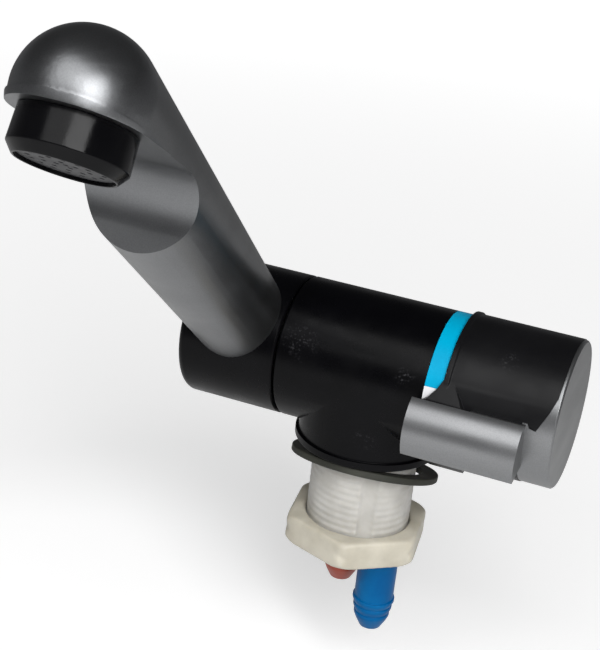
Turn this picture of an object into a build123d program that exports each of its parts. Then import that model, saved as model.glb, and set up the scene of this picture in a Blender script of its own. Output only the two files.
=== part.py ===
from build123d import *
import math
import os

os.makedirs("parts", exist_ok=True)

# A folding-spout mixer tap for a caravan or boat worktop, in millimetres.
# Z is the threaded stem's axis and z = 0 the worktop under the foot.
# The body lies along X with its lever on the +X end, and the spout points to -Y.

# Body
body_radius = 17.6
body_wall = 2.6
body_axis_height = 20.1
body_left = 20.4
body_right = 16.8
edge_break = 0.4
foot_flare = 0.7
foot_height = 2.0

# Threaded stem
stem_radius = 13.2
stem_length = 27.8
thread_pitch = 1.814
thread_depth = 0.3
thread_crest_share = 0.25
thread_root_share = 0.15
keyway_width = 3.8
keyway_depth = 0.8
keyway_angle = -63.5
stem_flange_height = 3.0
stem_flange_rim = 1.9
stem_nose_radius = 9.6
nose_below_axis = 9.1
face_seal_thickness = 0.8

# Loose gasket under the foot, hanging askew on the stem
gasket_slack = 1.4
gasket_width = 4.2
gasket_thickness = 1.8
gasket_tilt = 18.0
gasket_turn = -10.4

# Nut
nut_across_flats = 33.0
nut_height = 7.5
nut_top_drop = 20.6
nut_turn = 38.7
nut_thread_clearance = 0.08
nut_corner_fillet = 2.0
nut_chamfer = 1.4
nut_waist_depth = 1.0
nut_waist_height = 3.4

# Hose tails
tail_radius = 5.05
tail_pitch_radius = 7.6
tail_land = 15.0
tail_barb_count = 3
tail_barb_pitch = 2.2
tail_barb_rise = 0.35
tail_barb_fall = 0.4
tail_barb_taper = 0.6
tail_barb_crest_share = 0.35
tail_nose = 2.2
tail_nose_taper = 1.2
tail_bore = 1.8
tail_spigot_radius = 4.0
tail_spigot_length = 8.0
cold_angle = -7.0
hot_angle = 125.0
hot_tail_shorter = 7.2

# Water passages
passage_radius = 2.0
passage_pitch_radius = 6.2
port_radius = 1.6
port_inset = 2.66
outlet_passage_radius = 2.3

# Swivel spigot and its seals
spigot_inset = 7.6
seal_section = 0.85
seal_inset = 5.6
chamber_half_width = 3.0
chamber_depth = 1.6
running_clearance = 0.05
fit_clearance = 0.05
thrust_washer_inset = 3.6
thrust_washer_thickness = 0.4
ring_gap = 0.5

# Swivel ring
ring_length = 25.4
ring_end_round = 2.0
ring_end_web = 4.8
retainer_inset = 4.8
retainer_thickness = 1.1
retainer_screw_radius = 2.0
retainer_screw_length = 5.2
retainer_head_radius = 4.0
retainer_head_height = 1.4
end_cap_inset = 2.2
end_cap_thickness = 1.8

# Spout
spout_rise = 40.2
spout_axis_inset = 12.7
spout_reach = 120.7
spout_foot_radius = 11.15
spout_tip_radius = 14.0
spout_dome_length = 14.2
spout_bore = 9.95
notch_bore_wall = 8.8
spout_boss_end = 26.0
spout_seat_gap = 0.1
liner_offset = 6.6
liner_radius = 2.2
liner_wall = 0.6
liner_start = 17.0
liner_end_inset = 15.7

# Notch under the spout, aerator and its seat
outlet_inset = 1.0
outlet_drop = 3.85
notch_length = 33.9
notch_lean = 10.8
notch_back_slope = 17.0
notch_round = 13.0
lip_length = 11.7
lip_lean = 6.85
lip_proud = 0.4
aerator_radius = 11.7
aerator_taper = 0.2
aerator_height = 9.1
aerator_chamfer = 1.7
aerator_chamfer_height = 2.1
aerator_wall = 1.6
aerator_neck_radius = 10.0
aerator_neck_height = 5.0
aerator_seal_thickness = 0.8
aerator_chamber_radius = 7.5
aerator_chamber_height = 4.4
aerator_insert_recess = 0.8
aerator_insert_thickness = 2.4
aerator_hole_radius = 0.55
aerator_hole_rings = 3
aerator_ring_radius = 2.0
aerator_ring_pitch = 2.6
aerator_ring_holes = 4
aerator_ring_more_holes = 6

# Cartridge
base_seal_thickness = 0.5
cartridge_floor = 1.5
cartridge_right_end = 24.0
cartridge_cup_wall = 1.8
cartridge_flange_clearance = 0.2
block_right = 11.0
disc_clearance = 0.2
fixed_disc_thickness = 1.6
moving_disc_inset = 1.6
moving_disc_thickness = 1.7
disc_gap = 0.05
disc_pocket_depth = 1.2
turret_gap = 0.25
turret_head_thickness = 1.4
turret_head_gap = 0.1
collar_wall = 3.2
collar_bore_clearance = 0.1
collar_lip_inset = 1.4
collar_lip_thickness = 1.5

# Indicator ring between body and knob
indicator_width = 4.2
indicator_seat_gap = 0.05
band_depth = 0.6
cold_band_start_angle = 18.0
cold_band_end_angle = 160.0
hot_band_start_angle = -146.0
hot_band_end_angle = -32.0

# Lever stub and knob
tilt_axis_x = 19.0
stub_width = 4.4
stub_right = 36.0
stub_tip_radius = 0.9
stub_tip_reach = 2.85
pivot_pin_radius = 1.5
pivot_pin_inset = 1.75
slot_left_room = 0.9
slot_right_room = 1.9
stub_end_wall = 0.2
knob_left = 21.4
knob_right = 48.7
knob_step = 0.6
knob_bead_height = 0.4
knob_bead_width = 1.0
knob_relief = 0.5
knob_wall = 1.8
knob_skirt_clearance = 0.2
knob_skirt_depth = 1.2
knob_taper_end = 26.0
knob_web = 2.3
knob_hub_radius = 6.0
knob_hub_left = 28.0
cap_step = 0.4
cap_thickness = 0.9
cap_skirt_depth = 3.6
knob_screw_radius = 1.5
knob_screw_length = 8.0
knob_screw_head_radius = 3.4
knob_screw_head_height = 2.1

# Lever bar and the tongue that carries it
bar_left = 15.2
bar_right = 42.0
bar_root = 1.0
bar_top_stand = 2.7
bar_top_angle = 10.0
bar_middle_stand = 6.7
bar_middle_angle = -4.0
bar_bottom_stand = 7.5
bar_bottom_angle = -23.2
bar_heel_angle = -30.0
tongue_clearance = 0.4
tongue_thickness = 2.0
tongue_bottom_angle = -66.0
tongue_right = 29.0
apron_left = 41.0
apron_back = 4.7

# Derived places
quarter_turn = 90
foot_radius = body_radius + foot_flare
bore_radius = body_radius - body_wall
block_radius = bore_radius - fit_clearance * 2
spigot_radius = body_radius - spigot_inset
thrust_washer_radius = body_radius - thrust_washer_inset
retainer_radius = body_radius - retainer_inset
end_cap_radius = body_radius - end_cap_inset
ring_right = -body_left - ring_gap
ring_left = ring_right - ring_length
spout_x = ring_right - spout_axis_inset
spigot_left = ring_left + ring_end_web
stem_flange_radius = stem_radius + stem_flange_rim
gasket_bore = stem_radius + gasket_slack
gasket_radius = gasket_bore + gasket_width
stem_nose_top = body_axis_height - nose_below_axis
socket_top = stem_nose_top + face_seal_thickness
floor_left = block_right + base_seal_thickness
floor_right = floor_left + cartridge_floor
moving_disc_left = floor_right + fixed_disc_thickness + disc_gap
moving_disc_right = moving_disc_left + moving_disc_thickness
collar_bore = block_radius - collar_wall
collar_lip_radius = body_radius - collar_lip_inset
cartridge_cup_radius = collar_bore - collar_bore_clearance
cartridge_flange_radius = block_radius - cartridge_flange_clearance
cup_bore = cartridge_cup_radius - cartridge_cup_wall
disc_radius = cup_bore - disc_clearance
moving_disc_radius = disc_radius - moving_disc_inset
port_pitch_radius = disc_radius - port_inset
turret_radius = cup_bore - running_clearance
pivot_pin_half_length = turret_radius - pivot_pin_inset
turret_left = moving_disc_right + turret_gap
indicator_left = body_right + indicator_seat_gap
indicator_right = indicator_left + indicator_width
knob_radius = body_radius + knob_step
knob_bead_radius = knob_radius + knob_bead_height
knob_skirt_bore = body_radius + knob_skirt_clearance
knob_bore = knob_radius - knob_wall
cap_radius = body_radius + cap_step
tongue_bore = body_radius + tongue_clearance
tongue_radius = tongue_bore + tongue_thickness
bar_top_radius = body_radius + bar_top_stand
bar_middle_radius = body_radius + bar_middle_stand
bar_bottom_radius = body_radius + bar_bottom_stand
web_right = stub_right + knob_web + fit_clearance
cap_left = knob_right - cap_thickness

# Planes and axes that the pieces share
body_axis = Axis((0, 0, body_axis_height), (1, 0, 0))
body_section = Plane(origin=(0, 0, body_axis_height), x_dir=(1, 0, 0), z_dir=(0, -1, 0))
stem_section = Plane.XZ
rise = math.radians(spout_rise)
spout_foot = (spout_x, 0, body_axis_height)
spout_direction = (0, -math.cos(rise), math.sin(rise))
spout_axis = Axis(spout_foot, spout_direction)
spout_section = Plane(origin=spout_foot, x_dir=spout_direction, z_dir=(-1, 0, 0))
lean = math.radians(notch_lean)
outlet_reach = spout_reach - outlet_inset
notch_corner_reach = outlet_reach - notch_length
spout_bore_end = notch_corner_reach - notch_bore_wall
liner_end = outlet_reach - liner_end_inset
outlet_centre = spout_section.from_local_coords(Vector(outlet_reach, -outlet_drop, 0))
outlet_up = spout_section.from_local_coords(
    Vector(outlet_reach + math.sin(lean), -outlet_drop + math.cos(lean), 0)
) - outlet_centre
outlet_axis = Axis(outlet_centre, outlet_up)
outlet_section = Plane(origin=outlet_centre, x_dir=outlet_up, z_dir=(-1, 0, 0))


def body_slice(x):
    """Plane across the body at x, with Y to the left and Z up as seen from the lever end."""
    return Plane(origin=(x, 0, body_axis_height), x_dir=(0, 1, 0), z_dir=(1, 0, 0))


def spout_slice(reach):
    """Plane across the spout tube at a distance along its axis."""
    return Plane(origin=spout_section.from_local_coords(Vector(reach, 0, 0)),
                 x_dir=(1, 0, 0), z_dir=spout_direction)


def outlet_slice(height):
    """Plane across the aerator at a height above the notch's roof."""
    return Plane(origin=outlet_centre + outlet_up * height, x_dir=(1, 0, 0), z_dir=outlet_up)


def on_circle(radius, angle):
    """Point of a body slice at an angle above the -Y direction."""
    turn = math.radians(angle)
    return (-radius * math.cos(turn), radius * math.sin(turn))


def on_pitch(radius, angle):
    """Point of the XY plane in polar form."""
    turn = math.radians(angle)
    return (radius * math.cos(turn), radius * math.sin(turn))


def turned(outline, plane, axis, mode=Mode.ADD):
    """Revolve a closed outline of (place, radius) points, drawn on a plane, about an axis."""
    with BuildSketch(plane) as section:
        with BuildLine():
            Polyline(*outline, close=True)
        make_face()
    revolve(section.sketch, axis=axis, mode=mode)


def turned_on_body(outline, mode=Mode.ADD):
    turned(outline, body_section, body_axis, mode)


def turned_on_stem(outline, mode=Mode.ADD):
    turned([(radius, height) for height, radius in outline], stem_section, Axis.Z, mode)


def drilled(plane, spots, radius, depth):
    """Cut round holes of one radius from a plane along its normal."""
    with BuildSketch(plane) as holes:
        with Locations(*spots):
            Circle(radius)
    extrude(holes.sketch, amount=depth, mode=Mode.SUBTRACT)


def seal_ring(plane, centre_radius):
    """Round rubber ring lying in a plane."""
    with Locations(plane):
        Torus(centre_radius, seal_section)


def save(piece, label):
    piece.part.label = label
    export_step(piece.part, f"parts/{label}.step")


# Body housing: a black tee with a bore along X and a counterbored foot
with BuildPart() as body_housing:
    turned_on_body([(-body_left, 0), (-body_left, body_radius - edge_break),
                    (-body_left + edge_break, body_radius), (body_right, body_radius), (body_right, 0)])
    with BuildSketch(Plane.XY):
        Circle(body_radius)
    extrude(amount=body_axis_height)
    with BuildSketch(Plane.XY):
        Circle(foot_radius)
    extrude(amount=foot_height)
    foot_edges = body_housing.edges().filter_by(GeomType.CIRCLE).group_by(Axis.Z)[0]
    chamfer(foot_edges, edge_break)
    relief_radius = knob_bead_radius + knob_relief
    turned_on_body([(body_right, 0), (body_right, relief_radius), (body_right * 2, relief_radius),
                    (body_right * 2, 0)], Mode.SUBTRACT)
    turned_on_body([(-body_left, 0), (-body_left, bore_radius), (body_right, bore_radius), (body_right, 0)],
                   Mode.SUBTRACT)
    with BuildSketch(Plane.XY):
        Circle(stem_radius + fit_clearance)
    extrude(amount=body_axis_height, mode=Mode.SUBTRACT)
    with BuildSketch(Plane.XY):
        Circle(stem_flange_radius + fit_clearance)
    extrude(amount=stem_flange_height + edge_break, mode=Mode.SUBTRACT)
save(body_housing, "body_housing")

# Valve block: the core that fills the housing and ends in the swivel spigot
cold_passage = on_pitch(passage_pitch_radius, cold_angle)
hot_passage = on_pitch(passage_pitch_radius, hot_angle)
cold_port = (cold_passage[1], -math.sqrt(port_pitch_radius ** 2 - cold_passage[1] ** 2))
hot_port = (hot_passage[1], math.sqrt(port_pitch_radius ** 2 - hot_passage[1] ** 2))
chamber_right = spout_x + chamber_half_width
chamber_left = spout_x - chamber_half_width
seal_places = [ring_right - seal_inset + seal_section, spigot_left + seal_section * 2.4]
with BuildPart() as valve_block:
    groove_radius = spigot_radius - seal_section * 2
    turned_on_body([(spigot_left, 0), (spigot_left, spigot_radius), (-body_left, spigot_radius),
                    (-body_left, block_radius), (block_right, block_radius), (block_right, 0)])
    grooves = [(place - seal_section, place + seal_section, groove_radius) for place in seal_places]
    grooves.append((chamber_left, chamber_right, spigot_radius - chamber_depth))
    for left, right, floor in grooves:
        turned_on_body([(left, floor), (left, body_radius), (right, body_radius), (right, floor)],
                       Mode.SUBTRACT)
    drilled(body_slice(chamber_left), [(0, 0)], outlet_passage_radius, block_right - chamber_left)
    drilled(Plane(origin=(spout_x, spigot_radius, body_axis_height), z_dir=(0, -1, 0)),
            [(0, 0)], outlet_passage_radius, spigot_radius * 2)
    drilled(Plane(origin=(spout_x, 0, body_axis_height - spigot_radius)),
            [(0, 0)], outlet_passage_radius, spigot_radius * 2)
    with BuildSketch(Plane.XY):
        Circle(stem_nose_radius + fit_clearance)
    extrude(amount=socket_top, mode=Mode.SUBTRACT)
    for passage, port in ((cold_passage, cold_port), (hot_passage, hot_port)):
        drilled(Plane.XY.offset(socket_top), [passage], passage_radius,
                body_axis_height + port[1] + port_radius - socket_top)
        drilled(body_slice(passage[0]), [port], port_radius, block_right - passage[0])
    drilled(body_slice(spigot_left), [(0, 0)], retainer_screw_radius + fit_clearance, retainer_screw_length)
save(valve_block, "valve_block")

# Threaded stem: shank for the worktop hole, flange inside the foot and a nose with two passages
stem_bottom = -stem_length
tail_spots = {"cold": on_pitch(tail_pitch_radius, cold_angle), "hot": on_pitch(tail_pitch_radius, hot_angle)}
thread_turns = int((stem_length - thread_pitch) / thread_pitch)
crest_end = thread_pitch * thread_crest_share
root_length = thread_pitch * thread_root_share
flank_length = (thread_pitch - crest_end - root_length) / 2
with BuildPart() as threaded_stem:
    outline = [(stem_nose_top, 0), (stem_nose_top, stem_nose_radius), (stem_flange_height, stem_nose_radius),
               (stem_flange_height, stem_flange_radius), (edge_break / 2, stem_flange_radius),
               (edge_break / 2, stem_radius)]
    for turn in range(thread_turns):
        crest = -turn * thread_pitch
        outline.append((crest - crest_end, stem_radius))
        outline.append((crest - crest_end - flank_length, stem_radius - thread_depth))
        outline.append((crest - crest_end - flank_length - root_length, stem_radius - thread_depth))
        outline.append((crest - thread_pitch, stem_radius))
    outline.append((stem_bottom + edge_break, stem_radius))
    outline.append((stem_bottom, stem_radius - edge_break))
    outline.append((stem_bottom, 0))
    turned_on_stem(outline)
    with BuildSketch(Plane.XY.offset(stem_bottom)):
        with Locations(Rotation(0, 0, keyway_angle)):
            with Locations((stem_radius, 0)):
                Rectangle(keyway_depth * 2, keyway_width)
    extrude(amount=stem_length - thread_pitch, mode=Mode.SUBTRACT)
    drilled(Plane.XY.offset(stem_bottom), [cold_passage, hot_passage], passage_radius,
            stem_length + stem_nose_top)
    drilled(Plane.XY.offset(stem_bottom), list(tail_spots.values()), tail_spigot_radius + fit_clearance,
            tail_spigot_length)
save(threaded_stem, "threaded_stem")

with BuildPart() as stem_face_seal:
    with BuildSketch(Plane.XY.offset(stem_nose_top)):
        Circle(stem_nose_radius)
        with Locations(cold_passage, hot_passage):
            Circle(passage_radius, mode=Mode.SUBTRACT)
    extrude(amount=face_seal_thickness)
save(stem_face_seal, "stem_face_seal")

# Loose base gasket: its front edge touches the foot, its hole clears the stem
tilt = math.radians(gasket_tilt)
gasket_axis_z = -gasket_radius * math.sin(tilt) - gasket_thickness * math.cos(tilt) - fit_clearance
with BuildPart() as base_gasket:
    tilted = Plane.XY.rotated((-gasket_tilt, 0, gasket_turn))
    with BuildSketch(Plane(origin=(0, 0, gasket_axis_z), x_dir=tilted.x_dir, z_dir=tilted.z_dir)):
        Circle(gasket_radius)
        Circle(gasket_bore, mode=Mode.SUBTRACT)
    extrude(amount=gasket_thickness)
save(base_gasket, "base_gasket")

# Hexagon mounting nut: rounded and chamfered corners with a slight waist round the middle
nut_bore = stem_radius + nut_thread_clearance
nut_corner_radius = nut_across_flats / 2 / math.cos(math.pi / 6)
nut_low = -nut_top_drop - nut_height
nut_middle = -nut_top_drop - nut_height / 2
waist_radius = nut_corner_radius - nut_waist_depth
with BuildPart() as mounting_nut:
    with BuildSketch(Plane.XY.offset(-nut_top_drop)):
        RegularPolygon(nut_across_flats / 2, 6, major_radius=False, rotation=nut_turn)
    extrude(amount=-nut_height)
    fillet(mounting_nut.edges().filter_by(Axis.Z), nut_corner_fillet)
    turned_on_stem([(-nut_top_drop, nut_corner_radius - nut_chamfer), (-nut_top_drop, nut_corner_radius),
                    (-nut_top_drop - nut_chamfer, nut_corner_radius)], Mode.SUBTRACT)
    turned_on_stem([(nut_low, nut_corner_radius - nut_chamfer), (nut_low, nut_corner_radius),
                    (nut_low + nut_chamfer, nut_corner_radius)], Mode.SUBTRACT)
    turned_on_stem([(nut_middle - nut_waist_height / 2, nut_corner_radius), (nut_middle, waist_radius),
                    (nut_middle + nut_waist_height / 2, nut_corner_radius)], Mode.SUBTRACT)
    with BuildSketch(Plane.XY.offset(-nut_top_drop)):
        Circle(nut_bore)
    extrude(amount=-nut_height, mode=Mode.SUBTRACT)
save(mounting_nut, "mounting_nut")


# Hose tails: a plain land under the stem, shallow barbs and a blunt nose, with a spigot into the stem
def tail_outline(shorter):
    """Heights and radii of one tail below the stem, from the spigot's top to the nose."""
    top = stem_bottom + tail_spigot_length - edge_break
    land_end = stem_bottom - tail_land + shorter
    points = [(top, 0), (top, tail_spigot_radius), (stem_bottom, tail_spigot_radius),
              (stem_bottom, tail_radius), (land_end, tail_radius)]
    for barb in range(tail_barb_count):
        barb_top = land_end - barb * tail_barb_pitch
        crest = tail_radius + tail_barb_rise - barb * tail_barb_fall
        points.append((barb_top, crest))
        points.append((barb_top - tail_barb_pitch * tail_barb_crest_share, crest))
        points.append((barb_top - tail_barb_pitch, crest - tail_barb_taper))
    nose_top, nose_radius = points[-1]
    points.append((nose_top - tail_nose, nose_radius - tail_nose_taper))
    points.append((nose_top - tail_nose, 0))
    return points


for name, shorter in (("cold", 0.0), ("hot", hot_tail_shorter)):
    spot = tail_spots[name]
    axis_x, axis_y = spot
    tail_plane = Plane(origin=(axis_x, axis_y, 0), x_dir=(1, 0, 0), z_dir=(0, -1, 0))
    tail_axis = Axis((axis_x, axis_y, 0), (0, 0, 1))
    seal_height = stem_bottom + tail_spigot_length / 2
    with BuildPart() as tail:
        profile = [(radius, height) for height, radius in tail_outline(shorter)]
        turned(profile, tail_plane, tail_axis)
        groove = [(tail_spigot_radius - seal_section, seal_height - seal_section),
                  (tail_spigot_radius + seal_section, seal_height - seal_section),
                  (tail_spigot_radius + seal_section, seal_height + seal_section),
                  (tail_spigot_radius - seal_section, seal_height + seal_section)]
        turned(groove, tail_plane, tail_axis, Mode.SUBTRACT)
        with BuildSketch(Plane.XY.offset(stem_bottom + tail_spigot_length)):
            with Locations(spot):
                Circle(tail_bore)
        extrude(amount=-tail_spigot_length * 5, mode=Mode.SUBTRACT)
    save(tail, f"{name}_hose_tail")
    with BuildPart() as tail_seal:
        with Locations((axis_x, axis_y, seal_height)):
            Torus(tail_spigot_radius - seal_section / 2, seal_section / 2)
    save(tail_seal, f"{name}_tail_seal")

# Seals, washer and retainer of the swivel
with BuildPart() as swivel_seals:
    for place in seal_places:
        seal_ring(body_slice(place), spigot_radius - seal_section)
save(swivel_seals, "swivel_seals")

washer_right = -body_left - (ring_gap - thrust_washer_thickness) / 2
with BuildPart() as thrust_washer:
    turned_on_body([(washer_right, spigot_radius + running_clearance), (washer_right, thrust_washer_radius),
                    (washer_right - thrust_washer_thickness, thrust_washer_radius),
                    (washer_right - thrust_washer_thickness, spigot_radius + running_clearance)])
save(thrust_washer, "thrust_washer")

with BuildPart() as retaining_washer:
    turned_on_body([(spigot_left, retainer_screw_radius + fit_clearance), (spigot_left, retainer_radius),
                    (spigot_left - retainer_thickness, retainer_radius),
                    (spigot_left - retainer_thickness, retainer_screw_radius + fit_clearance)])
save(retaining_washer, "retaining_washer")

head_right = spigot_left - retainer_thickness
with BuildPart() as retaining_screw:
    turned_on_body([(head_right - retainer_head_height, 0),
                    (head_right - retainer_head_height, retainer_head_radius),
                    (head_right, retainer_head_radius), (head_right, retainer_screw_radius),
                    (spigot_left + retainer_screw_length - edge_break, retainer_screw_radius),
                    (spigot_left + retainer_screw_length - edge_break, 0)])
    with BuildSketch(body_slice(head_right - retainer_head_height)):
        for slot_turn in (0, 90):
            with Locations(Rotation(0, 0, slot_turn)):
                Rectangle(retainer_head_radius * 1.1, retainer_head_radius * 0.25)
    extrude(amount=retainer_head_height * 0.6, mode=Mode.SUBTRACT)
save(retaining_screw, "retaining_screw")

# Swivel ring with the boss that carries the spout tube
pocket_right = spigot_left + running_clearance * 2
cap_seat = ring_left + end_cap_thickness + fit_clearance
with BuildPart() as swivel_ring:
    with BuildSketch(body_section) as ring_section:
        with BuildLine():
            Polyline((ring_left, 0), (ring_left, body_radius - ring_end_round))
            RadiusArc((ring_left, body_radius - ring_end_round), (ring_left + ring_end_round, body_radius),
                      ring_end_round)
            Polyline((ring_left + ring_end_round, body_radius), (ring_right - edge_break, body_radius),
                     (ring_right, body_radius - edge_break), (ring_right, 0), (ring_left, 0))
        make_face()
    revolve(axis=body_axis)
    with BuildSketch(spout_slice(spigot_radius)):
        Circle(spout_bore - fit_clearance)
    extrude(amount=spout_boss_end - spigot_radius)
    turned_on_body([(ring_left, 0), (ring_left, spigot_radius + running_clearance),
                    (ring_right, spigot_radius + running_clearance), (ring_right, 0)], Mode.SUBTRACT)
    turned_on_body([(ring_left, 0), (ring_left, retainer_radius + edge_break),
                    (pocket_right, retainer_radius + edge_break), (pocket_right, 0)], Mode.SUBTRACT)
    turned_on_body([(ring_left, 0), (ring_left, end_cap_radius + fit_clearance),
                    (cap_seat, end_cap_radius + fit_clearance), (cap_seat, 0)], Mode.SUBTRACT)
    drilled(spout_slice(0), [(0, liner_offset)], liner_radius + fit_clearance, spout_boss_end + edge_break)
    with BuildSketch(spout_slice(spout_boss_end - seal_section * 2)):
        with Locations((0, liner_offset)):
            Circle(liner_radius + seal_section + fit_clearance)
    extrude(amount=seal_section * 3, mode=Mode.SUBTRACT)
save(swivel_ring, "swivel_ring")

with BuildPart() as ring_end_cap:
    turned_on_body([(ring_left + edge_break / 2, 0),
                    (ring_left + edge_break / 2, end_cap_radius - edge_break),
                    (ring_left + edge_break, end_cap_radius), (cap_seat - fit_clearance, end_cap_radius),
                    (cap_seat - fit_clearance, 0)])
save(ring_end_cap, "ring_end_cap")

# Spout tube: a tapered tube with a domed end, notched underneath to carry the aerator
# A thin lip stands proud round the front of the notch and fades out towards its back
back = math.radians(notch_back_slope)
lip_tilt = math.radians(lip_lean)
notch_corner = (notch_corner_reach, notch_length * math.tan(lean) - outlet_drop)
roof_run = spout_reach
roof_far = (notch_corner[0] + roof_run, notch_corner[1] - roof_run * math.tan(lean))
back_run = spout_tip_radius * 3
back_low = (notch_corner[0] - back_run * math.tan(back), notch_corner[1] - back_run)
lip_start = (outlet_reach - lip_length, lip_length * math.tan(lean) - outlet_drop)
lip_far = (lip_start[0] + roof_run, lip_start[1] - roof_run * math.tan(lip_tilt))
neck_radius = aerator_neck_radius + fit_clearance


def tube_body(skin):
    """The spout's tapered tube with its dome, grown outwards by a skin."""
    with BuildSketch(spout_section) as tube_outline:
        with BuildLine():
            Polyline((0, 0), (0, spout_foot_radius + skin), (spout_reach, spout_tip_radius + skin))
            EllipticalCenterArc((spout_reach, 0), spout_dome_length + skin, spout_tip_radius + skin,
                                start_angle=0, arc_size=quarter_turn)
            Line((spout_reach + spout_dome_length + skin, 0), (0, 0))
        make_face()
    return revolve(tube_outline.sketch, axis=spout_axis, mode=Mode.PRIVATE)


with BuildPart() as spout_tube:
    add(tube_body(0))
    with BuildSketch(spout_section, mode=Mode.PRIVATE) as lip_wedge:
        with BuildLine():
            Polyline(lip_start, lip_far, roof_far, close=True)
        make_face()
    lip_slab = extrude(lip_wedge.sketch, amount=spout_tip_radius * 2, both=True, mode=Mode.PRIVATE)
    add(tube_body(lip_proud) & lip_slab)
    with BuildSketch(spout_section, mode=Mode.PRIVATE) as notch:
        with BuildLine():
            Polyline(notch_corner, roof_far, (roof_far[0], back_low[1]), back_low, close=True)
        make_face()
        fillet(notch.vertices().sort_by_distance(Vector(*notch_corner))[0], notch_round)
    extrude(notch.sketch, amount=spout_tip_radius * 2, both=True, mode=Mode.SUBTRACT)
    seat_radius = body_radius + spout_seat_gap
    seat_left = ring_left - spout_tip_radius
    seat_right = ring_right + spout_tip_radius
    turned_on_body([(seat_left, 0), (seat_left, seat_radius), (seat_right, seat_radius), (seat_right, 0)],
                   Mode.SUBTRACT)
    with BuildSketch(spout_slice(0)):
        Circle(spout_bore)
    extrude(amount=spout_bore_end, mode=Mode.SUBTRACT)
    with BuildSketch(spout_slice(0)):
        with Locations((0, liner_offset)):
            Circle(liner_radius + fit_clearance)
    extrude(amount=liner_end, mode=Mode.SUBTRACT)
    with BuildSketch(spout_slice(liner_end)):
        with Locations((0, liner_offset)):
            Circle(liner_radius - liner_wall)
    extrude(amount=outlet_reach - aerator_chamber_radius / 2 - liner_end, mode=Mode.SUBTRACT)
    with BuildSketch(outlet_slice(-edge_break)):
        Circle(neck_radius)
    extrude(amount=edge_break + aerator_neck_height + aerator_seal_thickness, mode=Mode.SUBTRACT)
    with BuildSketch(outlet_slice(0)):
        Circle(aerator_chamber_radius)
    extrude(amount=aerator_neck_height + aerator_seal_thickness + aerator_chamber_height, mode=Mode.SUBTRACT)
save(spout_tube, "spout_tube")

with BuildPart() as spout_liner:
    with BuildSketch(spout_slice(liner_start)):
        with Locations((0, liner_offset)):
            Circle(liner_radius)
            Circle(liner_radius - liner_wall, mode=Mode.SUBTRACT)
    extrude(amount=liner_end - liner_start - fit_clearance)
save(spout_liner, "spout_liner")

with BuildPart() as liner_seal:
    with Locations(Plane(origin=spout_section.from_local_coords(
            Vector(spout_boss_end - seal_section, liner_offset, 0)), z_dir=spout_direction)):
        Torus(liner_radius + seal_section / 2 + fit_clearance / 2, seal_section / 2)
save(liner_seal, "liner_seal")

# Aerator: an outer housing screwed into the spout, a perforated insert and a flat seal
outlet_face = -aerator_height
with BuildPart() as aerator_housing:
    bore = aerator_radius - aerator_chamfer - edge_break
    turned([(-fit_clearance, 0), (-fit_clearance, aerator_radius - aerator_taper),
            (outlet_face + aerator_chamfer_height, aerator_radius),
            (outlet_face, aerator_radius - aerator_chamfer), (outlet_face, 0)], outlet_section, outlet_axis)
    with BuildSketch(outlet_slice(-fit_clearance)):
        Circle(aerator_neck_radius)
    extrude(amount=aerator_neck_height)
    with BuildSketch(outlet_slice(outlet_face)):
        Circle(bore)
    extrude(amount=aerator_height + aerator_neck_height - aerator_wall, mode=Mode.SUBTRACT)
    with BuildSketch(outlet_slice(outlet_face)):
        Circle(aerator_chamber_radius)
    extrude(amount=aerator_height + aerator_neck_height, mode=Mode.SUBTRACT)
save(aerator_housing, "aerator_housing")

insert_face = outlet_face + aerator_insert_recess
with BuildPart() as aerator_insert:
    with BuildSketch(outlet_slice(insert_face)):
        Circle(bore - fit_clearance)
        Circle(aerator_hole_radius, mode=Mode.SUBTRACT)
        for ring in range(aerator_hole_rings):
            with PolarLocations(aerator_ring_radius + ring * aerator_ring_pitch,
                                aerator_ring_holes + ring * aerator_ring_more_holes):
                Circle(aerator_hole_radius, mode=Mode.SUBTRACT)
    extrude(amount=aerator_insert_thickness)
save(aerator_insert, "aerator_insert")

with BuildPart() as aerator_seal:
    with BuildSketch(outlet_slice(aerator_neck_height)):
        Circle(aerator_neck_radius)
        Circle(aerator_chamber_radius, mode=Mode.SUBTRACT)
    extrude(amount=aerator_seal_thickness - fit_clearance)
save(aerator_seal, "aerator_seal")

# Cartridge: base seal, cup, ceramic discs and the collar that holds them in the body
with BuildPart() as cartridge_base_seal:
    with BuildSketch(body_slice(block_right)):
        Circle(cartridge_flange_radius)
        Circle(outlet_passage_radius, mode=Mode.SUBTRACT)
        with Locations(cold_port, hot_port):
            Circle(port_radius, mode=Mode.SUBTRACT)
    extrude(amount=base_seal_thickness)
save(cartridge_base_seal, "cartridge_base_seal")

with BuildPart() as cartridge_cup:
    turned_on_body([(floor_left, 0), (floor_left, cartridge_flange_radius),
                    (floor_right, cartridge_flange_radius),
                    (floor_right, cartridge_cup_radius), (cartridge_right_end, cartridge_cup_radius),
                    (cartridge_right_end, cup_bore), (floor_right, cup_bore), (floor_right, 0)])
    drilled(body_slice(floor_left), [(0, 0)], outlet_passage_radius, cartridge_floor)
    drilled(body_slice(floor_left), [cold_port, hot_port], port_radius, cartridge_floor)
save(cartridge_cup, "cartridge_cup")

with BuildPart() as fixed_disc:
    with BuildSketch(body_slice(floor_right)):
        Circle(disc_radius)
        Circle(outlet_passage_radius, mode=Mode.SUBTRACT)
        with Locations(cold_port, hot_port):
            Circle(port_radius, mode=Mode.SUBTRACT)
    extrude(amount=fixed_disc_thickness)
save(fixed_disc, "fixed_ceramic_disc")

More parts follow.
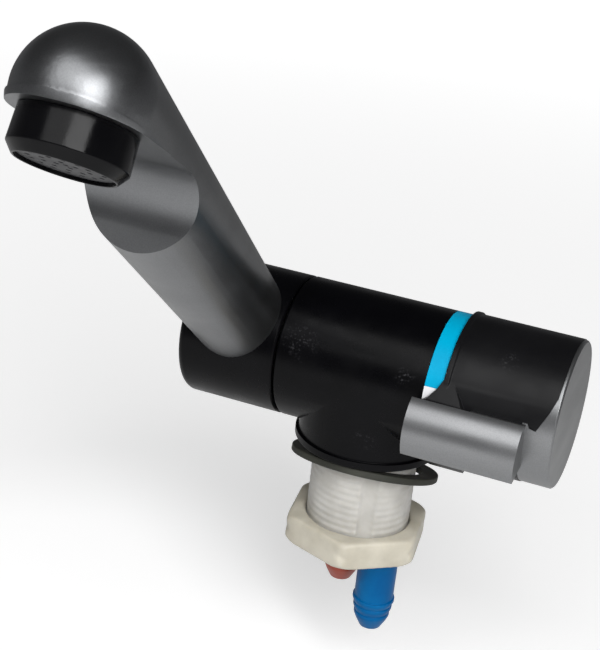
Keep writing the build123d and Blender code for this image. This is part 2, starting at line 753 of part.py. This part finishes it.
pocket_left = moving_disc_right - disc_pocket_depth
pocket_half = stub_tip_radius + running_clearance * 4
with BuildPart() as moving_disc:
    with BuildSketch(body_slice(moving_disc_left)):
        Circle(moving_disc_radius)
    extrude(amount=moving_disc_thickness)
    with BuildSketch(body_slice(pocket_left)):
        Rectangle(pocket_half * 2, stub_width + edge_break)
    extrude(amount=disc_pocket_depth, mode=Mode.SUBTRACT)
save(moving_disc, "moving_ceramic_disc")

collar_lip_left = indicator_right + indicator_seat_gap
collar_right = collar_lip_left + collar_lip_thickness
with BuildPart() as retaining_collar:
    turned_on_body([(floor_right, collar_bore), (floor_right, block_radius), (collar_lip_left, block_radius),
                    (collar_lip_left, collar_lip_radius), (collar_right, collar_lip_radius),
                    (collar_right, collar_bore)])
save(retaining_collar, "retaining_collar")

# Indicator ring: white, with a cold and a hot band let into its rim
band_bed = body_radius - band_depth


def rim_band(start, end, inner, outer):
    """Sector of a flat ring in a body slice, from one angle to another."""
    with BuildSketch(body_slice(indicator_left)) as band:
        with BuildLine():
            middle = (start + end) / 2
            l1 = ThreePointArc(on_circle(outer, start), on_circle(outer, middle), on_circle(outer, end))
            l2 = ThreePointArc(on_circle(inner, start), on_circle(inner, middle), on_circle(inner, end))
            Line(l1 @ 0, l2 @ 0)
            Line(l1 @ 1, l2 @ 1)
        make_face()
    return band.sketch


bands = {"cold_band": (cold_band_start_angle, cold_band_end_angle),
         "hot_band": (hot_band_start_angle, hot_band_end_angle)}
with BuildPart() as indicator_ring:
    turned_on_body([(indicator_left, block_radius + fit_clearance), (indicator_left, body_radius),
                    (indicator_right, body_radius), (indicator_right, block_radius + fit_clearance)])
    for start, end in bands.values():
        extrude(rim_band(start, end, band_bed, knob_radius), amount=indicator_width, mode=Mode.SUBTRACT)
save(indicator_ring, "indicator_ring")

for name, (start, end) in bands.items():
    with BuildPart() as band_piece:
        extrude(rim_band(start, end, band_bed, body_radius), amount=indicator_width)
    save(band_piece, name)

# Turret: turns in the cup for temperature, and its slot lets the lever stub tilt
slot_left_side = stub_width / 2 + slot_left_room
slot_right_side = stub_width / 2 + slot_right_room
turret_right = cartridge_right_end + turret_head_gap + turret_head_thickness
with BuildPart() as turret:
    turned_on_body([(turret_left, 0), (turret_left, turret_radius), (cartridge_right_end, turret_radius),
                    (cartridge_right_end + turret_head_gap, turret_radius),
                    (cartridge_right_end + turret_head_gap, cartridge_cup_radius - edge_break),
                    (turret_right, cartridge_cup_radius - edge_break), (turret_right, 0)])
    with BuildSketch(body_slice(turret_left)):
        with Locations(((slot_right_side - slot_left_side) / 2, 0)):
            Rectangle(slot_left_side + slot_right_side, stub_width + edge_break)
    extrude(amount=turret_right - turret_left, mode=Mode.SUBTRACT)
    drilled(Plane(origin=(tilt_axis_x, 0, body_axis_height - turret_radius)), [(0, 0)],
            pivot_pin_radius + fit_clearance, turret_radius * 2)
save(turret, "mixer_turret")

with BuildPart() as pivot_pin:
    with BuildSketch(Plane(origin=(tilt_axis_x, 0, body_axis_height - pivot_pin_half_length))):
        Circle(pivot_pin_radius)
    extrude(amount=pivot_pin_half_length * 2)
save(pivot_pin, "lever_pivot_pin")

# Lever stub: a square bar on the pivot pin, whose tip slides the ceramic disc
stub_tip_x = tilt_axis_x - stub_tip_reach
stub_left = tilt_axis_x - pivot_pin_radius - stub_end_wall
with BuildPart() as lever_stub:
    with BuildSketch(body_slice(stub_left)):
        Rectangle(stub_width, stub_width)
    extrude(amount=stub_right - stub_left)
    with BuildSketch(Plane(origin=(0, 0, body_axis_height - stub_width / 2))):
        with Locations((stub_tip_x, 0)):
            Circle(stub_tip_radius)
        with Locations(((stub_tip_x + tilt_axis_x) / 2, 0)):
            Rectangle(stub_tip_reach, stub_tip_radius * 2)
    extrude(amount=stub_width)
    drilled(Plane(origin=(tilt_axis_x, 0, body_axis_height - stub_width)), [(0, 0)],
            pivot_pin_radius + running_clearance, stub_width * 2)
    drilled(body_slice(stub_right - knob_screw_length), [(0, 0)], knob_screw_radius + fit_clearance,
            knob_screw_length)
save(lever_stub, "lever_stub")

# Knob shell: a cup over the cartridge, its hub on the stub, with a tongue reaching over the ring
front_depth = bar_bottom_radius * 2


def front_region(points, depth, back):
    """Solid cut from the front view: X and height over the body axis, from y = -back forwards."""
    with BuildSketch(Plane(origin=(0, -back, body_axis_height), x_dir=(1, 0, 0), z_dir=(0, -1, 0))) as region:
        with BuildLine():
            Polyline(*points, close=True)
        make_face()
    return extrude(region.sketch, amount=depth, mode=Mode.PRIVATE)


tongue_outline = [(knob_left, 8.5), (20.2, 5.9), (18.3, 3.5), (bar_left + edge_break, 1.5),
                  (bar_left + edge_break, -9.1), (19.2, -17.1), (19.2, -21.1), (26.5, -21.1),
                  (tongue_right, -11.1), (tongue_right, -0.1), (26.0, 4.9), (23.0, 8.5)]
apron_outline = [(apron_left, -21.1), (apron_left, 3.3), (bar_right + edge_break / 2, 3.3), (42.7, 2.3),
                 (44.3, 1.9), (46.5, 6.6), (47.6, 9.9), (cap_left, 13.5), (cap_left, -21.1)]
with BuildPart() as knob_shell:
    bead_right = knob_left + knob_bead_width
    hub_right = web_right - knob_web
    turned_on_body([(knob_left, knob_skirt_bore), (knob_left, knob_bead_radius),
                    (bead_right, knob_bead_radius), (bead_right + knob_bead_height, knob_radius),
                    (cap_left, knob_radius), (cap_left, knob_bore), (web_right, knob_bore), (web_right, 0),
                    (knob_hub_left, 0), (knob_hub_left, knob_hub_radius), (hub_right, knob_hub_radius),
                    (hub_right, knob_bore), (knob_taper_end, knob_bore),
                    (knob_left + knob_skirt_depth, knob_skirt_bore)])
    with BuildSketch(body_slice(bar_left), mode=Mode.PRIVATE) as tongue_section:
        with BuildLine():
            l1 = ThreePointArc(on_circle(tongue_bore, 27), on_circle(tongue_bore, -20),
                               on_circle(tongue_bore, tongue_bottom_angle - 16))
            l2 = ThreePointArc(on_circle(tongue_radius, 11), on_circle(tongue_radius, -20),
                               on_circle(tongue_radius, tongue_bottom_angle))
            Line(l1 @ 0, l2 @ 0)
            Line(l1 @ 1, l2 @ 1)
        make_face()
    tongue_bar = extrude(tongue_section.sketch, amount=tongue_right - bar_left, mode=Mode.PRIVATE)
    add(tongue_bar & front_region(tongue_outline, front_depth, 0))
    add(front_region(apron_outline, front_depth, apron_back), mode=Mode.SUBTRACT)
    with BuildSketch(body_slice(knob_hub_left)):
        Rectangle(stub_width + fit_clearance * 2, stub_width + fit_clearance * 2)
    extrude(amount=stub_right - knob_hub_left, mode=Mode.SUBTRACT)
    drilled(body_slice(stub_right), [(0, 0)], knob_screw_radius + fit_clearance, knob_web + fit_clearance)
save(knob_shell, "knob_shell")

with BuildPart() as knob_screw:
    turned_on_body([(stub_right - knob_screw_length + edge_break, 0),
                    (stub_right - knob_screw_length + edge_break, knob_screw_radius),
                    (web_right, knob_screw_radius), (web_right, knob_screw_head_radius),
                    (web_right + knob_screw_head_height, knob_screw_head_radius),
                    (web_right + knob_screw_head_height, 0)])
    with BuildSketch(body_slice(web_right + knob_screw_head_height)):
        for slot_turn in (0, 90):
            with Locations(Rotation(0, 0, slot_turn)):
                Rectangle(knob_screw_head_radius * 1.1, knob_screw_head_radius * 0.25)
    extrude(amount=-knob_screw_head_height * 0.6, mode=Mode.SUBTRACT)
save(knob_screw, "knob_screw")

# Lever handle: the end cap, the apron that wraps the front and the bar that the finger lifts
skirt_radius = knob_bore - fit_clearance
with BuildPart() as lever_handle:
    turned_on_body([(cap_left, 0), (cap_left, cap_radius), (knob_right - edge_break, cap_radius),
                    (knob_right, cap_radius - edge_break), (knob_right, 0)])
    skirt_left = cap_left - cap_skirt_depth
    skirt_bore = skirt_radius - knob_wall
    turned_on_body([(skirt_left, skirt_bore), (skirt_left, skirt_radius), (cap_left, skirt_radius),
                    (cap_left, skirt_bore)])
    with BuildSketch(body_slice(apron_left), mode=Mode.PRIVATE) as apron_ring:
        Circle(cap_radius)
        Circle(skirt_bore, mode=Mode.SUBTRACT)
    apron_tube = extrude(apron_ring.sketch, amount=cap_left - apron_left, mode=Mode.PRIVATE)
    add(apron_tube & front_region(apron_outline, front_depth, apron_back + fit_clearance))
    bar_step = tongue_right + fit_clearance
    bar_end = bar_right - bar_root
    for start, end, inner in ((bar_left, bar_step, tongue_radius + fit_clearance),
                              (bar_step, bar_end, knob_radius + fit_clearance),
                              (bar_end, bar_right, cap_radius - knob_wall)):
        with BuildSketch(body_slice(start), mode=Mode.PRIVATE) as bar_section:
            with BuildLine():
                l1 = ThreePointArc(on_circle(bar_top_radius, bar_top_angle),
                                   on_circle(bar_middle_radius, bar_middle_angle),
                                   on_circle(bar_bottom_radius, bar_bottom_angle))
                l2 = ThreePointArc(on_circle(inner, bar_top_angle - 1), on_circle(inner, -10),
                                   on_circle(inner, bar_heel_angle))
                Line(l1 @ 0, l2 @ 0)
                Line(l1 @ 1, l2 @ 1)
            make_face()
        extrude(bar_section.sketch, amount=end - start)
save(lever_handle, "lever_handle")
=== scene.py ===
import math

import bpy
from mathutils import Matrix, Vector


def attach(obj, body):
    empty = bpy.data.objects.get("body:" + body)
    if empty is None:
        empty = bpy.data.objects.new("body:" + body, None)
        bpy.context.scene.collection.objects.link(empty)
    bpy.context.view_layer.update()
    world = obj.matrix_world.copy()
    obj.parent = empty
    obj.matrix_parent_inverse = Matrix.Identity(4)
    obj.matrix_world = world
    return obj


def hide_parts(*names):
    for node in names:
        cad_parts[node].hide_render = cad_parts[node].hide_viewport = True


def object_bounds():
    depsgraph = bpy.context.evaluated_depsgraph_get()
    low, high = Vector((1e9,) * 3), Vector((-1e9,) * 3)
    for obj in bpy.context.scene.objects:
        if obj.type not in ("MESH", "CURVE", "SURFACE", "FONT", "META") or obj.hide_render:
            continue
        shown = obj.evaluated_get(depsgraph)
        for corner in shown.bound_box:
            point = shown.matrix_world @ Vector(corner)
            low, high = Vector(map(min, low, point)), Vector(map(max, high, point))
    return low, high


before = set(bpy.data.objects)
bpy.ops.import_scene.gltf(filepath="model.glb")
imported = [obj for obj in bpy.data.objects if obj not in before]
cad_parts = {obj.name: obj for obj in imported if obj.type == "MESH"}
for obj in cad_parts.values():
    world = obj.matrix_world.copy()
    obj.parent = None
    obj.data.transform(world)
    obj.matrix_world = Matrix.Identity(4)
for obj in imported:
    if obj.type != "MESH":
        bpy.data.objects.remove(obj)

cad_low, cad_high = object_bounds()

# Camera
# It stands in front of the tap, to the right and above it, with a long lens.
camera_place = (0.0998, -0.3323, 0.1708)
camera_turn = (67.507, -5.944, 22.468)
camera_data = bpy.data.cameras.new("camera")
camera_data.lens = 85.35
camera_data.sensor_width = 36
camera_data.clip_start = 0.01
camera = bpy.data.objects.new("camera", camera_data)
camera.location = camera_place
camera.rotation_euler = [math.radians(turn) for turn in camera_turn]
bpy.context.scene.collection.objects.link(camera)
bpy.context.scene.camera = camera


# Body housing, swivel ring and its end cap
# Black moulded plastic with a satin skin, scuffed lighter in a few places by handling, and with a painted
# highlight on the front of the foot.
# The three are turned and moulded pieces with eased edges, and meet at narrow grooves.
def new_material(name, colour, roughness, metallic=0.0, specular=0.5):
    material = bpy.data.materials.new(name)
    material.use_nodes = True
    shader = material.node_tree.nodes["Principled BSDF"]
    shader.inputs["Base Color"].default_value = (*colour, 1)
    shader.inputs["Roughness"].default_value = roughness
    shader.inputs["Metallic"].default_value = metallic
    shader.inputs["Specular IOR Level"].default_value = specular
    return material, shader


def cloud(material, scale, detail=3, stretch=(1, 1, 1), place=(0, 0, 0)):
    """Noise on object coordinates, as patches about 1/scale metres across."""
    tree = material.node_tree
    where = tree.nodes.new("ShaderNodeTexCoord")
    mapping = tree.nodes.new("ShaderNodeMapping")
    mapping.inputs["Location"].default_value = place
    mapping.inputs["Scale"].default_value = stretch
    noise = tree.nodes.new("ShaderNodeTexNoise")
    noise.inputs["Scale"].default_value = scale
    noise.inputs["Detail"].default_value = detail
    tree.links.new(where.outputs["Object"], mapping.inputs["Vector"])
    tree.links.new(mapping.outputs["Vector"], noise.inputs["Vector"])
    return noise.outputs["Fac"]


def spread(material, source, low, high, start=0.35, end=0.65):
    """Map a pattern's range from start to end, its middle unless they are given, onto low to high."""
    steps = material.node_tree.nodes.new("ShaderNodeMapRange")
    steps.inputs["From Min"].default_value = start
    steps.inputs["From Max"].default_value = end
    steps.inputs["To Min"].default_value = low
    steps.inputs["To Max"].default_value = high
    material.node_tree.links.new(source, steps.inputs["Value"])
    return steps.outputs["Result"]


def tint(material, source, dark, light, start=0.35, end=0.65):
    """Colour a pattern from one shade to another."""
    ramp = material.node_tree.nodes.new("ShaderNodeValToRGB")
    ramp.color_ramp.elements[0].position = start
    ramp.color_ramp.elements[1].position = end
    ramp.color_ramp.elements[0].color = (*dark, 1)
    ramp.color_ramp.elements[1].color = (*light, 1)
    material.node_tree.links.new(source, ramp.inputs["Fac"])
    return ramp.outputs["Color"]


def joined(material, operation, first, second):
    """Combine two patterns, or a pattern and a number, by one Math operation."""
    node = material.node_tree.nodes.new("ShaderNodeMath")
    node.operation = operation
    for socket, value in zip(node.inputs, (first, second)):
        if isinstance(value, (int, float)):
            socket.default_value = value
        else:
            material.node_tree.links.new(value, socket)
    return node.outputs["Value"]


def over(material, mask, under, top):
    """Lay one colour over another where a mask is 1."""
    mix = material.node_tree.nodes.new("ShaderNodeMix")
    mix.data_type = "RGBA"
    material.node_tree.links.new(mask, mix.inputs["Factor"])
    for socket, value in ((mix.inputs["A"], under), (mix.inputs["B"], top)):
        if isinstance(value, tuple):
            socket.default_value = (*value, 1)
        else:
            material.node_tree.links.new(value, socket)
    return mix.outputs["Result"]


def bump(material, shader, source, distance, strength=1.0, under=None):
    """Raise the surface by a pattern, distance in metres."""
    lift = material.node_tree.nodes.new("ShaderNodeBump")
    lift.inputs["Distance"].default_value = distance
    lift.inputs["Strength"].default_value = strength
    material.node_tree.links.new(source, lift.inputs["Height"])
    if under is not None:
        material.node_tree.links.new(under, lift.inputs["Normal"])
    material.node_tree.links.new(lift.outputs["Normal"], shader.inputs["Normal"])
    return lift.outputs["Normal"]


def near(material, places):
    """Mask that is 1 at each of some places and fades to 0 at its radius, all in metres."""
    nodes, links = material.node_tree.nodes, material.node_tree.links
    where = nodes.new("ShaderNodeTexCoord")
    mask = 0
    for x, y, z, radius in places:
        away = nodes.new("ShaderNodeVectorMath")
        away.operation = "DISTANCE"
        away.inputs[1].default_value = (x, y, z)
        links.new(where.outputs["Object"], away.inputs[0])
        spot = spread(material, away.outputs["Value"], 1, 0, 0, radius)
        mask = joined(material, "MAXIMUM", mask, spot)
    return mask


def moulded(name, dark, light, roughness, patch=60, grain=2200, grain_depth=0.00002,
            specular=0.5, scuff_and_highlight_places=(), scuff_and_highlight_colour=(0.05, 0.05, 0.054), scuff_and_highlight_scale=2000):
    """Moulded plastic: faint colour patches, uneven gloss, a fine grain and lighter marks at some places,
    which are scuffs and painted highlights.
    """
    gloss_swing = 0.05
    scuff_and_highlight_dulling = 0.2
    grain_strength = 0.35
    material, shader = new_material(name, dark, roughness, specular=specular)
    links = material.node_tree.links
    colour = tint(material, cloud(material, patch), dark, light)
    gloss = spread(material, cloud(material, patch * 3), roughness - gloss_swing, roughness + gloss_swing)
    # Lighter marks at the given places: scuffs, and on the body's foot a painted highlight.
    if scuff_and_highlight_places:
        marks = spread(material, cloud(material, scuff_and_highlight_scale, 5), 0, 1, 0.5, 0.7)
        breaks = spread(material, cloud(material, scuff_and_highlight_scale / 4, 3, (1, 1, 2)), 0, 1, 0.44, 0.6)
        mask = joined(material, "MULTIPLY", marks, near(material, scuff_and_highlight_places))
        mask = joined(material, "MULTIPLY", mask, breaks)
        colour = over(material, mask, colour, scuff_and_highlight_colour)
        dulling = joined(material, "MULTIPLY", mask, scuff_and_highlight_dulling)
        gloss = joined(material, "ADD", gloss, dulling)
    links.new(colour, shader.inputs["Base Color"])
    links.new(gloss, shader.inputs["Roughness"])
    bump(material, shader, cloud(material, grain, 2), grain_depth, grain_strength)
    return material


def dress(material, *names):
    """Give CAD nodes a material."""
    for name in names:
        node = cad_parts[name]
        node.data.materials.clear()
        node.data.materials.append(material)


def eased(node, body, finish, ease, corner=30, rounds=3, worn=None):
    """Stand a merged copy in for a CAD node, with its sharp edges rounded by a width in metres.

    Where worn is given, as a grid width in metres and a count of rounds, the skin is softened too.
    """
    merge_distance = 0.000002
    flat_angle = math.radians(0.3)
    corner_angle = math.radians(corner)
    piece = bpy.data.objects.new(node + "_eased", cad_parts[node].data.copy())
    bpy.context.scene.collection.objects.link(piece)
    bpy.ops.object.select_all(action="DESELECT")
    bpy.context.view_layer.objects.active = piece
    piece.select_set(True)
    bpy.ops.object.mode_set(mode="EDIT")
    bpy.ops.mesh.select_all(action="SELECT")
    bpy.ops.mesh.customdata_custom_splitnormals_clear()
    bpy.ops.mesh.remove_doubles(threshold=merge_distance)
    bpy.ops.mesh.dissolve_limited(angle_limit=flat_angle)
    bpy.ops.object.mode_set(mode="OBJECT")
    rounding = piece.modifiers.new("rounding", "BEVEL")
    rounding.limit_method = "ANGLE"
    rounding.angle_limit = corner_angle
    rounding.width = ease
    rounding.segments = rounds
    bpy.ops.object.modifier_apply(modifier="rounding")
    if worn is not None:
        grid_width, soft_rounds = worn
        grid = piece.modifiers.new("grid", "REMESH")
        grid.mode = "VOXEL"
        grid.voxel_size = grid_width
        bpy.ops.object.modifier_apply(modifier="grid")
        soft = piece.modifiers.new("soft", "SMOOTH")
        soft.iterations = soft_rounds
        bpy.ops.object.modifier_apply(modifier="soft")
    bpy.ops.object.shade_smooth_by_angle(angle=corner_angle)
    shading = piece.modifiers.new("shading", "WEIGHTED_NORMAL")
    shading.keep_sharp = True
    bpy.ops.object.modifier_apply(modifier="shading")
    piece.data.materials.clear()
    piece.data.materials.append(finish)
    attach(piece, body)
    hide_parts(node)
    return piece


# Places of lighter marks: scuffs, except the third, on the front of the foot, which is a painted highlight.
body_scuffs_and_highlight = [(-0.0150, -0.0158, 0.0279, 0.0055), (0.0118, -0.0166, 0.0262, 0.003),
               (0.0040, -0.0155, 0.0080, 0.0035), (-0.0300, 0.0120, 0.0325, 0.005)]
black_plastic = moulded("black_satin_plastic", (0.0010, 0.0010, 0.0014), (0.0018, 0.0018, 0.0025),
                        roughness=0.3, specular=0.1, scuff_and_highlight_places=body_scuffs_and_highlight)
eased("body_housing", "tap_body", black_plastic, 0.0002)
eased("swivel_ring", "spout", black_plastic, 0.0002)
eased("ring_end_cap", "spout", black_plastic, 0.00015)

# Indicator ring with its two inlays
# White plastic ring, with a bright cyan band for cold and a red one for hot let into its rim.
white_plastic = moulded("white_plastic", (0.78, 0.78, 0.8), (0.84, 0.84, 0.85), 0.4)
cyan_plastic = moulded("cyan_plastic", (0.0, 0.33, 0.56), (0.0, 0.39, 0.63), 0.36, specular=0.08)
hot_plastic = moulded("hot_red_plastic", (0.55, 0.02, 0.01), (0.62, 0.03, 0.02), 0.38)
eased("indicator_ring", "tap_body", white_plastic, 0.0001)
eased("cold_band", "tap_body", cyan_plastic, 0.00012)
eased("hot_band", "tap_body", hot_plastic, 0.00012)

# Knob
# Charcoal moulded plastic cup with a bead at its skirt and a tongue that reaches over the ring.
knob_scuffs = [(0.0345, -0.0110, 0.0345, 0.003), (0.0410, 0.0120, 0.0335, 0.004)]
knob_plastic = moulded("knob_satin_plastic", (0.0045, 0.0045, 0.0052), (0.0068, 0.0068, 0.0076), 0.38,
                       specular=0.16, scuff_and_highlight_places=knob_scuffs)
eased("knob_shell", "lever", knob_plastic, 0.00025)


# Spout tube
# Die-cast tube in a satin dark grey metallic finish, with a fine flake and slightly cloudy gloss.
# The edge round its notch is rolled over by about half a millimetre.
def metal(name, dark, light, roughness, flake=3600, metallic=0.92):
    """Satin metallic finish: fine flake, cloudy gloss and faint smears."""
    smear_scale, smear_detail, smear_stretch = 45, 4, (1, 1, 2.5)
    glossier, duller = roughness - 0.03, roughness + 0.04
    flake_depth, flake_strength = 0.00001, 0.1
    material, shader = new_material(name, dark, roughness, metallic)
    links = material.node_tree.links
    links.new(tint(material, cloud(material, flake, 1), dark, light), shader.inputs["Base Color"])
    smear = cloud(material, smear_scale, smear_detail, smear_stretch)
    links.new(spread(material, smear, glossier, duller), shader.inputs["Roughness"])
    bump(material, shader, cloud(material, flake, 2), flake_depth, flake_strength)
    return material


spout_metal = metal("spout_satin_grey", (0.165, 0.169, 0.174), (0.185, 0.189, 0.195),
                    roughness=0.35, metallic=0.97)
eased("spout_tube", "spout", spout_metal, 0.00045)

# Lever handle
# Silver metallic casting with a satin skin: cap, apron and finger bar in one piece.
handle_metal = metal("handle_satin_silver", (0.21, 0.214, 0.219), (0.235, 0.239, 0.244), 0.35)
eased("lever_handle", "lever", handle_metal, 0.0002)

# Aerator
# Glossy black screwed housing with a dark grey perforated plate in it.
gloss_plastic = moulded("aerator_gloss_black", (0.002, 0.002, 0.0025), (0.0035, 0.0035, 0.004), 0.17,
                        specular=0.12)
plate_plastic = moulded("aerator_plate_grey", (0.012, 0.012, 0.014), (0.03, 0.03, 0.033),
                        roughness=0.55, grain=900, grain_depth=0.0001)
eased("aerator_housing", "spout", gloss_plastic, 0.00025)
eased("aerator_insert", "spout", plate_plastic, 0.0001)

# Loose base gasket
# Flat ring of dark olive grey rubber, lying askew on the stem.
gasket_rubber = moulded("gasket_rubber", (0.022, 0.023, 0.018), (0.042, 0.043, 0.034), 0.65, grain=1200,
                        grain_depth=0.00005, specular=0.3)
eased("base_gasket", "tap_body", gasket_rubber, 0.0004)


# Threaded stem and backnut
# Natural nylon, off-white and a little translucent, mottled by its moulding.
def nylon(name, dark, light, roughness):
    """Natural nylon: milky, with cloudy mottling and a soft orange-peel skin."""
    mottle_scale, gloss_scale, gloss_swing = 140, 260, 0.08
    peel_scale, peel_depth, peel_strength = 420, 0.00012, 0.5
    grain_scale, grain_depth, grain_strength = 2400, 0.00002, 0.3
    milkiness, glow_colour, glow_reach = 0.25, (1.0, 0.9, 0.7), 0.002
    material, shader = new_material(name, light, roughness)
    links = material.node_tree.links
    mottle = cloud(material, mottle_scale, 5)
    links.new(tint(material, mottle, dark, light), shader.inputs["Base Color"])
    gloss = spread(material, cloud(material, gloss_scale), roughness - gloss_swing, roughness + gloss_swing)
    links.new(gloss, shader.inputs["Roughness"])
    shader.inputs["Subsurface Weight"].default_value = milkiness
    shader.inputs["Subsurface Radius"].default_value = glow_colour
    shader.inputs["Subsurface Scale"].default_value = glow_reach
    peel = bump(material, shader, cloud(material, peel_scale, 3), peel_depth, peel_strength)
    bump(material, shader, cloud(material, grain_scale, 2), grain_depth, grain_strength, under=peel)
    return material


stem_nylon = nylon("stem_nylon", (0.45, 0.437, 0.405), (0.56, 0.547, 0.515), 0.42)
nut_nylon = nylon("nut_nylon", (0.48, 0.447, 0.365), (0.595, 0.56, 0.47), 0.45)
wear_grid, stem_wear, nut_wear = 0.00036, 6, 22
eased("threaded_stem", "tap_body", stem_nylon, 0.00012, worn=(wear_grid, stem_wear))
eased("mounting_nut", "backnut", nut_nylon, 0.0003, worn=(wear_grid, nut_wear))

# Hose tails
# Barbed plastic tails, blue for cold and red for hot.
blue_plastic = moulded("cold_blue_plastic", (0.0, 0.086, 0.26), (0.0, 0.125, 0.34), 0.36, patch=110,
                       specular=0.1)
red_plastic = moulded("hot_tail_red_plastic", (0.34, 0.05, 0.025), (0.44, 0.075, 0.04), 0.4, patch=110)
eased("cold_hose_tail", "tap_body", blue_plastic, 0.00025)
eased("hot_hose_tail", "tap_body", red_plastic, 0.00025)

# Inner pieces
# Valve, cartridge, seals and fasteners, hidden unless the tap is taken apart.
seal_rubber = moulded("seal_rubber", (0.015, 0.015, 0.015), (0.025, 0.025, 0.025), 0.5)
dress(seal_rubber, "cold_tail_seal", "hot_tail_seal", "stem_face_seal", "swivel_seals", "liner_seal",
      "aerator_seal", "cartridge_base_seal")
acetal = moulded("grey_acetal", (0.4, 0.4, 0.38), (0.5, 0.5, 0.47), 0.45)
dress(acetal, "valve_block", "cartridge_cup", "mixer_turret", "thrust_washer", "spout_liner")
ceramic = moulded("white_ceramic", (0.78, 0.77, 0.73), (0.84, 0.83, 0.8), 0.2)
dress(ceramic, "fixed_ceramic_disc", "moving_ceramic_disc")
steel = metal("stainless_steel", (0.5, 0.5, 0.52), (0.58, 0.58, 0.6), 0.3, metallic=1.0)
dress(steel, "retaining_washer", "retaining_screw", "lever_pivot_pin", "knob_screw")
brass = metal("turned_brass", (0.6, 0.44, 0.18), (0.7, 0.52, 0.24), 0.3, metallic=1.0)
dress(brass, "retaining_collar", "lever_stub")

# Floor
# Plain pale floor, low enough that the nut clears it when it is off the stem.
# It looks paler to the lens and in reflections than its lamps alone would make it.
floor_drop, floor_size = 0.018, 3.0
near_white, far_white = 0.44, 0.92
near_reach, far_reach = 0.15, 0.9
glint_level, glint_reach = 0.6, 0.55
glint_place = (-0.06, -0.3, cad_low.z)
bpy.ops.object.select_all(action="DESELECT")
bpy.ops.mesh.primitive_plane_add(size=floor_size, location=(0, 0, cad_low.z - floor_drop))
bpy.ops.object.transform_apply(location=True, rotation=True, scale=True)
floor = bpy.context.object
floor.name = "floor"
floor_paint, floor_shader = new_material("floor_paint", (0.8, 0.8, 0.8), 0.9, specular=0.1)
floor_nodes, floor_links = floor_paint.node_tree.nodes, floor_paint.node_tree.links
light_path = floor_nodes.new("ShaderNodeLightPath")
direct = joined(floor_paint, "MAXIMUM", light_path.outputs["Is Camera Ray"],
                light_path.outputs["Is Transmission Ray"])
closeness = near(floor_paint, [(0, 0, 0, far_reach)])
white = spread(floor_paint, closeness, near_white, far_white, 1 - near_reach / far_reach, 0)
white = joined(floor_paint, "MULTIPLY", direct, white)
in_front = near(floor_paint, [(*glint_place, glint_reach)])
glint = joined(floor_paint, "MULTIPLY", in_front, glint_level)
glint = joined(floor_paint, "MULTIPLY", light_path.outputs["Is Glossy Ray"], glint)
floor_links.new(joined(floor_paint, "ADD", white, glint), floor_shader.inputs["Emission Strength"])
floor_shader.inputs["Emission Color"].default_value = (1, 1, 1, 1)
floor.data.materials.append(floor_paint)


# Lamps and world
# A soft key from the front right above the lens, a softbox from the left and a pale low sky,
# which is white to the lens.
def soft_lamp(name, azimuth, elevation, distance, size, power):
    """Square lamp aimed at the tap. Azimuth is counted from the front towards the right."""
    aim = Vector((0.0, -0.03, 0.03))
    turn, rise = math.radians(azimuth), math.radians(elevation)
    away = Vector((math.sin(turn) * math.cos(rise), -math.cos(turn) * math.cos(rise), math.sin(rise)))
    lamp = bpy.data.lights.new(name, "AREA")
    lamp.shape = "SQUARE"
    lamp.size = size
    lamp.energy = power
    holder = bpy.data.objects.new(name, lamp)
    holder.location = aim + away * distance
    holder.rotation_euler = (-away).to_track_quat("-Z", "Y").to_euler()
    bpy.context.scene.collection.objects.link(holder)


soft_lamp("key", 37, 32, 0.9, 0.5, 7.6)
soft_lamp("softbox", -8, 48, 1.0, 0.75, 5)
low_sky, high_sky, seen_sky = 0.18, 0.04, 0.9
world = bpy.data.worlds.new("world")
bpy.context.scene.world = world
world.use_nodes = True
sky_nodes, sky_links = world.node_tree.nodes, world.node_tree.links
sky_where = sky_nodes.new("ShaderNodeTexCoord")
sky_split = sky_nodes.new("ShaderNodeSeparateXYZ")
sky_ramp = sky_nodes.new("ShaderNodeValToRGB")
sky_ramp.color_ramp.elements[0].position = 0.05
sky_ramp.color_ramp.elements[0].color = (low_sky, low_sky, low_sky * 1.03, 1)
sky_ramp.color_ramp.elements[1].position = 0.35
sky_ramp.color_ramp.elements[1].color = (high_sky, high_sky, high_sky * 1.03, 1)
sky_links.new(sky_where.outputs["Generated"], sky_split.inputs["Vector"])
sky_links.new(sky_split.outputs["Z"], sky_ramp.inputs["Fac"])
sky_path = sky_nodes.new("ShaderNodeLightPath")
sky_seen = sky_nodes.new("ShaderNodeMix")
sky_seen.data_type = "RGBA"
sky_seen.inputs["B"].default_value = (seen_sky, seen_sky, seen_sky, 1)
sky_links.new(sky_path.outputs["Is Camera Ray"], sky_seen.inputs["Factor"])
sky_links.new(sky_ramp.outputs["Color"], sky_seen.inputs["A"])
sky_links.new(sky_seen.outputs["Result"], sky_nodes["Background"].inputs["Color"])
bpy.context.scene.view_settings.view_transform = "Standard"
